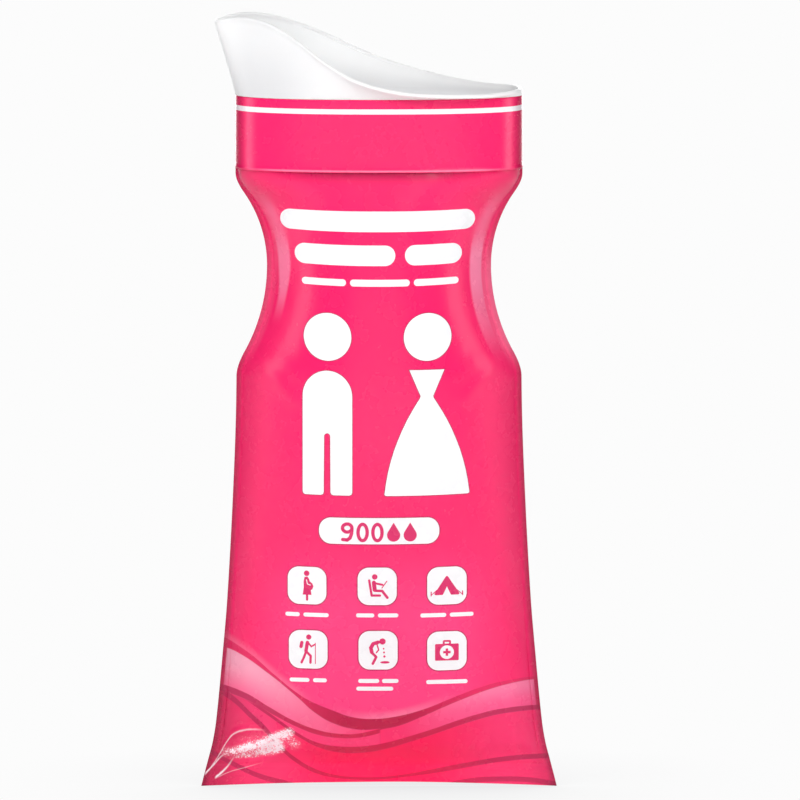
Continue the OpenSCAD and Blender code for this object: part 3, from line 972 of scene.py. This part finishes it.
def mouthpiece():
    angles = rim_angles()
    middle = rim_point(angles, WALL / 2)
    tangent = np.roll(middle, -1, 0) - np.roll(middle, 1, 0)
    out = np.stack([tangent[:, 1], -tangent[:, 0], np.zeros(len(angles))], 1)
    out /= np.linalg.norm(out, axis=1)[:, None] + 1e-9
    for _ in range(6):                       # ease the turn at the tip of the beak
        out = (np.roll(out, 1, 0) + 2 * out + np.roll(out, -1, 0)) / 4
    out /= np.linalg.norm(out, axis=1)[:, None]
    up = np.array([0, 0, 1.0])
    bead = 0.84                              # radius of the rounded rim

    skirt = [(SKIRT - 0.5, NECK_LOW + 2), (SKIRT - 0.1, NECK_LOW + 2.3),
             (SKIRT, NECK_LOW + 3), (SKIRT, NECK_TOP - 8), (SKIRT, NECK_TOP - 0.1),
             (SKIRT + 0.1, NECK_TOP + GAP), (NECK - 0.25, NECK_TOP + GAP),
             (NECK + 0.02, NECK_TOP + 0.12)]
    bore = [(BORE, NECK_TOP - 1), (BORE, NECK_TOP - 6), (BORE, NECK_TOP - 14),
            (BORE, NECK_LOW + 2.4), (BORE + 0.3, NECK_LOW + 2)]
    outer = np.concatenate([[0.03], np.linspace(0.08, 0.90, 26)])
    inner = np.linspace(0.90, 0.06, 26)

    loops = [oval_loop(half, z, angles) for half, z in skirt]
    loops += [wall_point(angles, share, 0) for share in outer]
    for turn in np.radians(np.linspace(-38, 218, 17)):
        loops.append(middle + bead * (math.cos(turn) * out + (math.sin(turn) - 0.85) * up))
    outside = np.zeros(len(loops))
    loops += [wall_point(angles, share, WALL) for share in inner]
    loops += [oval_loop(half, z, angles) for half, z in bore]
    verts, faces = rings(loops)
    piece = make("mouthpiece_shell", verts, faces, mouth_mat, angle=55)
    # painted shade for each loop: none outside, more down the inner wall, full in the bore
    inner_shade = np.concatenate([outside, ramp(1 - inner, 0.3, 1.0), np.ones(len(bore))])
    add_attribute(piece.data, "inner_shade", np.repeat(inner_shade, len(angles)))
    attach(piece, ride="mouth", replaces="mouthpiece")


mouthpiece()


# ---------------------------------------------------------------- valve
def valve_ring():
    low, top = ring_low[2], ring_high[2]
    verts, faces = oval_shell([(VALVE, low), (VALVE, top - 0.3), (VALVE - 0.05, top),
                               (VALVE - 0.25, top), (VALVE - 0.3, top - 0.3),
                               (VALVE - 0.3, low)])
    piece = make("valve_weld_ring", verts, faces, valve_mat, angle=60)
    attach(piece, ride="mouth", replaces="valve_ring")


def flap_skin(side, face):
    """Half of the valve: from the weld ring down to a flat rippled slit."""
    low, high = FLAP_LOW, ring_low[2] + 1.5
    up, angle = np.meshgrid(np.linspace(0, 1, 61), np.linspace(0, math.pi, 121),
                            indexing="ij")
    slit = 18.0                              # half width of the slit
    slit_depth = 0.28

    def sheet(inset):
        opening = np.minimum(up / 0.93, 1)
        width = slit + (VALVE[0] - 0.7 - slit) * opening - inset
        depth = slit_depth + (VALVE[1] - 0.7 - slit_depth) * (opening ** 1.15) - inset
        x, y = oval((width, depth), angle)
        ripple = ((1 - opening) ** 1.5 * (0.45 * np.sin(x * 0.42 + 0.5) + 0.2 * np.sin(x * 1.1))
                  + 0.25 * np.sin(x * 0.3 + opening * 3) * opening * (1 - opening) * 4
                  * np.sin(angle) ** 2)
        return np.stack([x, side * (y + GAP) + ripple, low + (high - low) * up], -1)

    verts, faces = slab(sheet(0), sheet(0.15), flip=side > 0)
    piece = make(f"valve_flap_{face}_skin", verts, faces, valve_mat, angle=60)
    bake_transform(piece)
    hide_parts(f"valve_flap_{face}")


valve_ring()
for side, face in SIDES:
    flap_skin(side, face)


# ---------------------------------------------------------------- absorbent sachet
def sachet_skin(side, face):
    """One cloth sheet: a pillow with a flat embossed margin 4 wide."""
    width, _, height = sachet_high - sachet_low
    low, depth = sachet_low[2], -sachet_low[1]
    grid = np.linspace(0, 1, 121)
    z, x = np.meshgrid(low + height * grid, width * (0.5 - grid), indexing="ij")
    across = np.minimum(1, np.abs(x) / (width / 2 - 4))
    up = np.minimum(1, np.abs(z - low - height / 2) / (height / 2 - 4))
    bulge = (depth - 0.35) * ((1 - across ** 3) * (1 - up ** 3)) ** 0.6
    lump = 0.18 * np.sin(x * 0.7 + 1) * np.sin(z * 0.62) + 0.12 * np.sin(x * 1.5 + z)
    margin = 0.04 * np.sin(x * TAU / 1.5) * np.sin(z * TAU / 1.5) * (bulge < 0.05)
    y = bulge * (1 + 0.03 * lump) + 0.15 * lump * np.minimum(1, bulge / 2) + margin + 0.06
    verts, faces = slab(np.stack([x, side * (y + 0.2), z], -1),
                        np.stack([x, side * (y - 0.02), z], -1), flip=side > 0)
    piece = make(f"sachet_{face}_skin", verts, faces, cloth_mat, angle=50)
    attach(piece, ride="sachet", replaces=f"sachet_{face}_sheet")


def granules():
    """Centre and radius, in mm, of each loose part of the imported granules."""
    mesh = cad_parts["absorbent_granules"].data
    places = np.array([vert.co for vert in mesh.vertices]) * 1000
    neighbours = [[] for _ in places]
    for edge in mesh.edges:
        first, second = edge.vertices
        neighbours[first].append(second)
        neighbours[second].append(first)
    seen = set()
    for start in range(len(places)):
        if start in seen:
            continue
        seen.add(start)
        part = [start]
        for index in part:                   # the list grows as neighbours are found
            for other in neighbours[index]:
                if other not in seen:
                    seen.add(other)
                    part.append(other)
        low, high = places[part].min(0), places[part].max(0)
        yield (low + high) / 2, (high - low).max() / 2


def gel_beads():
    """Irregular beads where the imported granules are."""
    ball = bmesh.new()
    bmesh.ops.create_icosphere(ball, subdivisions=3, radius=1.0)
    ball_verts = np.array([vert.co for vert in ball.verts])
    ball_faces = np.array([[vert.index for vert in face.verts] for face in ball.faces])
    ball.free()
    rng = np.random.default_rng(5)
    verts, faces = [], []
    for centre, radius in granules():
        if radius < 0.5:
            continue
        waves = rng.normal(size=(4, 3)) * 1.7
        phases = rng.uniform(0, TAU, 4)
        lump = sum(np.sin(ball_verts @ waves[i] + phases[i]) for i in range(4)) * 0.045
        faces.append(ball_faces + len(verts) * len(ball_verts))
        verts.append(centre + ball_verts * (radius * (0.92 + lump))[:, None]
                     * np.array([1, 0.94, 0.97]))
    piece = make("gel_beads_group", np.concatenate(verts), np.concatenate(faces), bead_mat)
    attach(piece, ride="sachet", replaces="absorbent_granules")


for side, face in SIDES:
    sachet_skin(side, face)
gel_beads()


# ---------------------------------------------------------------- flat shapes, as (x, z) outlines
def circle(x, z, radius, count=48, radius_z=None):
    return [(x + radius * math.cos(a), z + (radius_z or radius) * math.sin(a))
            for a in np.linspace(0, TAU, count, endpoint=False)]


def round_rect(x0, z0, x1, z1, radius, count=10):
    points = []
    for x, z, start in ((x1 - radius, z1 - radius, 0), (x0 + radius, z1 - radius, 90),
                        (x0 + radius, z0 + radius, 180), (x1 - radius, z0 + radius, 270)):
        for k in range(count + 1):
            angle = math.radians(start + 90 * k / count)
            points.append((x + radius * math.cos(angle), z + radius * math.sin(angle)))
    return points


def centred_rect(x, z, width, height, radius, count=10):
    return round_rect(x - width / 2, z - height / 2, x + width / 2, z + height / 2,
                      radius, count)


def bar(x, z, width, height):
    return centred_rect(x, z, width, height, height / 2 * 0.98, 8)


def capsule(start, end, width, count=8):
    radius = width / 2
    angle = math.atan2(end[1] - start[1], end[0] - start[0])
    points = []
    for centre, quarter in ((end, -math.pi / 2), (start, math.pi / 2)):
        for k in range(count + 1):
            turn = angle + quarter + math.pi * k / count
            points.append((centre[0] + radius * math.cos(turn),
                           centre[1] + radius * math.sin(turn)))
    return points


def stroke(points, width):
    return [capsule(start, end, width) for start, end in zip(points, points[1:])]


def shifted(shapes, right, up, scale=1.0):
    return [[(x * scale + right, z * scale + up) for x, z in shape] for shape in shapes]


def drop(x, z, height):
    """A plain water drop."""
    radius = height * 0.34
    return [(x, z + height / 2)] + [
        (x + radius * math.cos(a), z - height / 2 + radius + radius * math.sin(a))
        for a in np.radians(np.linspace(28, -208, 26))]


def anticlockwise(points):
    points = np.array(points, float)
    x, z = points.T
    area = np.sum(x * np.roll(z, -1) - np.roll(x, -1) * z)
    return points[::-1] if area < 0 else points


def grown(points, amount):
    """The outline moved out by amount."""
    points = anticlockwise(points)
    edges = np.roll(points, -1, 0) - points
    edges = edges / (np.linalg.norm(edges, axis=1)[:, None] + 1e-12)
    normal = np.stack([edges[:, 1], -edges[:, 0]], 1)
    mitre = normal + np.roll(normal, 1, 0)
    mitre = mitre / np.maximum(np.sum(mitre * mitre, 1) / 2, 0.5)[:, None]
    return [tuple(point) for point in points + mitre * amount]


def even(points, step):
    """The outline anticlockwise, with no edge longer than step."""
    points = anticlockwise(points)
    result = []
    for start, end in zip(points, np.roll(points, -1, 0)):
        count = max(1, math.ceil(np.linalg.norm(end - start) / step))
        result += [tuple(start + (end - start) * k / count) for k in range(count)]
    return result


def triangulate(shapes, cuts, spacing):
    """Points and anticlockwise faces of the union of shapes less the cuts."""
    corners, outlines = [], []
    for shape in [*shapes, *cuts]:
        outline = even(shape, spacing)
        outlines.append(list(range(len(corners), len(corners) + len(outline))))
        corners += outline
    low, high = np.min(corners, 0), np.max(corners, 0)
    columns = np.arange(low[0] + spacing / 2, high[0], spacing)
    rows = np.arange(low[1] + spacing / 2, high[1], spacing)
    grid = [(x + (spacing / 2 if k % 2 else 0), z) for k, z in enumerate(rows) for x in columns]
    points, _, faces, _, _, owners = delaunay_2d_cdt(
        [Vector(point) for point in corners + grid], [], outlines, 0, 1e-5)
    faces = [list(face) for face, ids in zip(faces, owners) if ids and max(ids) < len(shapes)]
    used = sorted({i for face in faces for i in face})
    number = {i: k for k, i in enumerate(used)}
    points = np.array([tuple(point) for point in points])[used]
    turned = []
    for face in faces:
        face = [number[i] for i in face]
        a, b, c = points[face[:3]]
        left_turn = (b[0] - a[0]) * (c[1] - a[1]) - (b[1] - a[1]) * (c[0] - a[0]) > 0
        turned.append(face if left_turn else face[::-1])
    return points, turned


def ink(name, side, layer, material, shapes, cuts=(), spacing=1.5):
    """A printed patch laid on the film as a thin closed skin."""
    points, faces = triangulate(shapes, cuts, spacing)
    x, z = points[:, 0] * (1 if side < 0 else -1), points[:, 1]
    top = np.stack([x, film_y(x, z, side, 0.03 + 0.035 * layer), z], 1)
    bottom = np.stack([x, film_y(x, z, side, -0.02 + 0.035 * (layer - 1)), z], 1)
    below = len(points)                      # number of the first bottom point
    edges = dict.fromkeys((face[i], face[(i + 1) % len(face)])
                          for face in faces for i in range(len(face)))
    solid = faces + [[i + below for i in face[::-1]] for face in faces]
    solid += [(a, a + below, b + below, b) for a, b in edges if (b, a) not in edges]
    piece = make(name, np.concatenate([top, bottom]), solid, material, angle=40)
    attach(piece, ride=None if z.max() > NECK_LOW - 40 else "pouch")


# ---------------------------------------------------------------- printed artwork
TITLE_BARS = [  # x, z, width, height
    (-0.5, 208.1, 70.5, 7.4), (-12.3, 195.9, 36.4, 7.4), (19.7, 195.9, 20.6, 7.4),
    (-19.9, 186.0, 16.0, 2.5), (0.35, 186.0, 21.6, 2.5), (20.7, 186.0, 16.2, 2.5)]
TILES = [  # x, z, width, height; two rows of three
    (-26.05, 75.1, 14.0, 13.8), (-0.65, 75.3, 14.15, 13.9), (24.6, 75.1, 14.3, 13.9),
    (-25.65, 51.45, 14.0, 14.2), (-0.33, 51.5, 14.15, 14.4), (24.6, 50.95, 14.3, 14.4)]
# widths of the one or two caption bars under each tile; tile 4 has its own layout
CAPTIONS = [(5.2, 9.2), (6.6, 7.4), (9.4, 8.6), (7.2, 5.0), None, (15.0, 0)]

MAN_X, MAN_HALF = -18.65, 8.98
MAN_LEFT, MAN_RIGHT = MAN_X - MAN_HALF, MAN_X + MAN_HALF
man_body = (
    [(MAN_X - MAN_HALF * math.cos(a), 144.6 + 9.4 * math.sin(a))
     for a in np.linspace(0, math.pi, 34)]
    + [(MAN_RIGHT, 109.7), (MAN_RIGHT - 0.3, 108.95), (MAN_RIGHT - 1.0, 108.65),
       (MAN_X + 2.2, 108.65), (MAN_X + 1.4, 108.95), (MAN_X + 1.1, 109.7),
       (MAN_X + 1.0, 130.1)]
    + [(MAN_X - 0.1 + 1.1 * math.cos(a), 130.1 + 1.1 * math.sin(a))
       for a in np.linspace(0.2, math.pi - 0.2, 7)]
    + [(MAN_X - 1.2, 130.1), (MAN_X - 1.35, 109.7), (MAN_X - 1.65, 108.95),
       (MAN_X - 2.4, 108.65), (MAN_LEFT + 1.0, 108.65), (MAN_LEFT + 0.3, 108.95),
       (MAN_LEFT, 109.7)])
WOMAN_X = 17.35
SKIRT_LINE = [  # distance from the woman's middle, z
    (2.3, 144.9), (2.5, 144.1), (3.9, 141.9), (5.3, 139.6), (7.3, 136), (9.1, 132.3),
    (10.7, 128.4), (12, 124.9), (13.1, 121.2), (14, 117.6), (14.7, 114), (15.2, 110.4),
    (15.4, 109.2), (15.2, 108.8), (14.6, 108.6)]
woman_body = ([(WOMAN_X - 6.35, 154.4), (WOMAN_X + 6.35, 154.3)]
              + [(WOMAN_X + out, z) for out, z in SKIRT_LINE]
              + [(WOMAN_X - out, z) for out, z in SKIRT_LINE[::-1]])
FIGURES = [circle(-18.6, 166.2, 8.62, 72), circle(17.6, 166.2, 8.62, 72), man_body, woman_body]

PLUS = [(-0.55, 1.7), (0.55, 1.7), (0.55, 0.55), (1.7, 0.55), (1.7, -0.55), (0.55, -0.55),
        (0.55, -1.7), (-0.55, -1.7), (-0.55, -0.55), (-1.7, -0.55), (-1.7, 0.55),
        (-0.55, 0.55)]
# pictograms for the tiles in turn, about 10 tall round (0, 0): (shapes, cuts)
ICONS = [
    # standing figure, expecting
    ([circle(-0.15, 4.5, 1.0),
      [(-0.9, 3.1), (0.1, 3.3), (0.7, 2.5), (1.0, 1.5), (1.9, 0.8), (2.3, -0.3), (1.9, -1.3),
       (1.35, -1.7), (1.6, -3.4), (-1.6, -3.4), (-1.2, -0.6), (-1.25, 1.6)],
      capsule((0.0, -3.2), (0.0, -5.2), 0.8)],
     stroke([(-0.2, 2.1), (0.1, 0.6), (1.2, 0.2)], 0.34)),
    # seated driver
    ([circle(-0.9, 3.5, 1.0)] + stroke([(-2.9, 2.2), (-2.0, -3.4), (1.0, -3.4)], 0.85)
     + stroke([(-1.2, 1.4), (-0.9, -1.3)], 1.5) + stroke([(-0.9, 1.2), (1.9, 0.6)], 0.75)
     + stroke([(-0.8, -1.6), (1.8, -1.7), (3.7, -4.2)], 0.95)
     + stroke([(1.7, -0.6), (3.5, 1.9)], 0.35), []),
    # tent
    ([[(0, 3.6), (0.3, 3.5), (4.6, -3.0), (4.2, -3.4), (-4.2, -3.4), (-4.6, -3.0),
       (-0.3, 3.5)]]
     + stroke([(3.6, -1.6), (5.7, -3.4)], 0.3) + stroke([(-3.6, -1.6), (-5.7, -3.4)], 0.3)
     + [capsule((5.7, -2.2), (5.7, -3.6), 0.4), capsule((-5.7, -2.2), (-5.7, -3.6), 0.4)],
     [[(0, -0.2), (0.5, -1.4), (1.7, -3.8), (-1.7, -3.8), (-0.5, -1.4)]]),
    # walker with a stick
    ([circle(0.2, 4.6, 0.95)] + stroke([(-0.3, 2.6), (-0.8, -0.6)], 1.25)
     + [capsule((-2.3, 2.5), (-2.6, 1.0), 1.2)]
     + stroke([(-0.8, -0.9), (-1.4, -2.6), (-2.4, -4.9)], 0.85)
     + stroke([(-0.6, -0.9), (0.9, -2.4), (0.8, -4.9)], 0.85)
     + stroke([(0.0, 2.5), (1.1, 1.1), (2.4, 1.9)], 0.6)
     + stroke([(2.6, 2.4), (2.6, -5.2)], 0.28), []),
    # bent figure
    ([circle(1.6, 3.3, 1.15)] + stroke([(0.0, 3.0), (-1.8, 2.4), (-2.6, 0.9), (-2.3, -0.7)], 1.35)
     + stroke([(-2.2, -0.9), (-0.7, -2.5), (-1.9, -5.0)], 0.95)
     + stroke([(-0.4, 2.2), (0.2, 0.2), (-0.6, -0.9)], 0.5)
     + [circle(2.0, 0.6, 0.3), circle(2.15, -0.8, 0.36), circle(2.3, -2.3, 0.42),
        circle(2.5, -4.5, 1.7, 40, 0.45)], []),
    # first-aid case; its plus is printed apart
    ([round_rect(-4.3, -3.6, 4.3, 2.6, 0.4), round_rect(-1.5, 2.2, 1.5, 4.0, 0.6)],
     [circle(0, -0.5, 2.55), round_rect(-0.8, 2.7, 0.8, 3.3, 0.2)])]


def capacity_print():
    """The number 900 and two drops: (shapes, cuts)."""
    pen = 1.25
    shapes = stroke([(-9.8, 96.4), (-9.95, 94.6), (-10.5, 93.1), (-11.5, 92.35),
                     (-13.1, 92.5)], pen)
    cuts = []
    first = 0
    for x, z, radius_x, radius_z in ((-11.5, 96.75, 2.33, 2.1), (-5.92, 95.2, 2.28, 3.62),
                                     (-0.55, 95.2, 2.28, 3.62)):
        ring = circle(x, z, radius_x, 40, radius_z)
        # the nine's ring comes before its tail, the noughts after
        shapes.insert(first, ring)
        first = len(shapes)
        cuts.append(circle(x, z, radius_x - pen, 40, radius_z - pen))
    return shapes + [drop(5.3, 95.3, 7.0), drop(11.3, 95.3, 7.0)], cuts


def caption_bars():
    bars = []
    thick, space = 1.5, 1.3
    for k, (x, z, _, height) in enumerate(TILES):
        line_z = z - height / 2 - (3.85 if k < 3 else 4.3)
        if CAPTIONS[k] is None:
            bars += [bar(x - 3.4, line_z, 7.6, thick), bar(x + 4.4, line_z, 6.0, thick),
                     bar(x - 1.2, line_z - 2.9, 13.4, thick)]
            continue
        first, second = CAPTIONS[k]
        total = first + second + (space if second else 0)
        bars.append(bar(x - total / 2 + first / 2, line_z, first, thick))
        if second:
            bars.append(bar(x + total / 2 - second / 2, line_z, second, thick))
    return bars


def print_art(side, face):
    ink(f"print_title_{face}", side, 1, white_ink, [bar(*row) for row in TITLE_BARS])
    ink(f"print_figure_edges_{face}", side, 0, edge_ink, [grown(s, 0.28) for s in FIGURES])
    ink(f"print_figures_{face}", side, 1, white_ink, FIGURES)
    panels = [round_rect(-21.7, 90.85, 21.85, 100.5, 4.4, 14)]
    panels += [centred_rect(*tile, 4.1) for tile in TILES]
    ink(f"print_tile_edges_{face}", side, 0, edge_ink, [grown(s, 0.38) for s in panels])
    ink(f"print_tiles_{face}", side, 1, white_ink, panels)
    ink(f"print_capacity_{face}", side, 2, pink_ink, *capacity_print(), 1.2)
    shapes, cuts = [], []
    for (x, z, _, _), (icon_shapes, icon_cuts) in zip(TILES, ICONS):
        shapes += shifted(icon_shapes, x, z)
        cuts += shifted(icon_cuts, x, z)
    ink(f"print_icons_{face}", side, 2, pink_ink, shapes, cuts, 1.2)
    plus = shifted(shifted([PLUS], 0, -0.5, 0.8), *TILES[5][:2])
    ink(f"print_plus_{face}", side, 2, pink_ink, plus, spacing=1.2)
    ink(f"print_captions_{face}", side, 1, white_ink, caption_bars(), spacing=1.2)


for side, face in SIDES:
    print_art(side, face)


# ---------------------------------------------------------------- stage, light and camera, in metres
def add_floor():
    """Pale floor; the camera sees it as a glow with a painted shadow near the pouch."""
    mesh = bpy.data.meshes.new("floor")
    mesh.from_pydata([(-6, -6, 0), (6, -6, 0), (6, 6, 0), (-6, 6, 0)], [], [(0, 1, 2, 3)])
    floor = bpy.data.objects.new("floor", mesh)
    SCENE.collection.objects.link(floor)
    mat = Material("pale_floor")
    mat.set(Base_Color=rgb(246, 246, 246), Roughness=0.9)
    # painted contact shadow: the glow darkens where the pouch shuts out the sky
    open_sky = add_node(mat.tree, "AmbientOcclusion", {"Distance": 0.12}, "AO", samples=8)
    colour = mix(open_sky ** 0.8, rgb(214, 214, 216), rgb(252, 252, 252))
    glow = add_node(mat.tree, "Emission", {"Color": colour})
    camera_ray = add_node(mat.tree, "LightPath", output="Is Camera Ray")
    mat.show(add_node(mat.tree, "MixShader", {0: camera_ray, 1: mat.principled, 2: glow}))
    mesh.materials.append(mat.data)


def add_world():
    """Near-white to the camera, dim in reflections, a soft fill for the rest."""
    world = bpy.data.worlds.new("studio")
    SCENE.world = world
    world.use_nodes = True
    tree = world.node_tree
    tree.nodes.clear()

    def background(colour, strength):
        return add_node(tree, "Background", {"Color": colour, "Strength": strength})

    camera_ray = add_node(tree, "LightPath", output="Is Camera Ray")
    unseen = add_node(tree, "MixShader", {0: camera_ray.other("Is Glossy Ray"),
                                          1: background((0.9, 0.92, 0.95, 1), 0.13),
                                          2: background((1.0, 0.94, 0.96, 1), 0.045)})
    sky = add_node(tree, "MixShader", {0: camera_ray, 1: unseen,
                                       2: background(rgb(252, 252, 252), 1.0)})
    add_node(tree, "OutputWorld", {0: sky})


# name, place, target, width, height, power, whether it reflects;
# lights without a reflection only fill: their reflections would veil the ink
LIGHTS = (
    ("key", (-0.55, -1.15, 1.25), (0, 0, 0.15), 1.0, 0.8, 12, False),
    ("fill", (0.75, -1.25, 0.95), (0, 0, 0.14), 0.9, 0.8, 6, True),
    ("front", (0.0, -2.2, 0.2), (0, 0, 0.14), 2.6, 1.6, 13, False),
    ("low", (0.0, -1.5, 0.08), (0, 0, 0.06), 1.6, 0.22, 1.7, False),
    ("side_left", (-1.1, -0.05, 0.3), (0, 0, 0.24), 0.4, 0.5, 1.7, False),
    ("side_right", (1.1, -0.05, 0.3), (0, 0, 0.24), 0.4, 0.5, 1.7, False),
    ("mouth_fill", (0.12, -0.8, 0.86), (0, 0, 0.27), 0.5, 0.3, 1.0, False),
    ("strip_left", (-0.94, -0.1, 0.32), (0, 0, 0.32), 0.22, 0.46, 0.6, True),
    ("strip_right", (0.94, -0.1, 0.32), (0, 0, 0.32), 0.22, 0.46, 0.6, True),
    ("back", (0.0, 2.2, 0.6), (0, 0, 0.15), 2.4, 1.4, 31, True))


def add_light(name, place, target, width, height, power, reflects):
    light = bpy.data.lights.new(name, "AREA")
    light.shape = "RECTANGLE"
    light.size, light.size_y = width, height
    light.energy = power
    lamp = bpy.data.objects.new(name, light)
    lamp.location = place
    lamp.rotation_mode = "QUATERNION"
    lamp.rotation_quaternion = (Vector(target) - Vector(place)).to_track_quat("-Z", "Y")
    lamp.visible_camera = False
    lamp.visible_glossy = reflects
    SCENE.collection.objects.link(lamp)


def add_camera():
    """Long lens from the front, slightly above."""
    camera = bpy.data.objects.new("camera", bpy.data.cameras.new("camera"))
    SCENE.collection.objects.link(camera)
    elevation, distance, view_width = math.radians(6.0), 11.0, 0.2900
    camera.data.sensor_width = 36
    camera.data.lens = 36 * distance / view_width
    aim = Vector((0.00761, 0, 0.13998 / math.cos(elevation)))
    back = Vector((0, -math.cos(elevation), math.sin(elevation)))
    camera.location = aim + back * distance
    camera.rotation_mode = "QUATERNION"
    camera.rotation_quaternion = (-back).to_track_quat("-Z", "Y")
    camera.data.clip_start, camera.data.clip_end = 0.5, 60
    SCENE.camera = camera


add_floor()
add_world()
for row in LIGHTS:
    add_light(*row)
SCENE.view_settings.view_transform = "Standard"
SCENE.view_settings.look = "None"
SCENE.view_settings.exposure = 0.0
SCENE.view_settings.gamma = 1.0
add_camera()
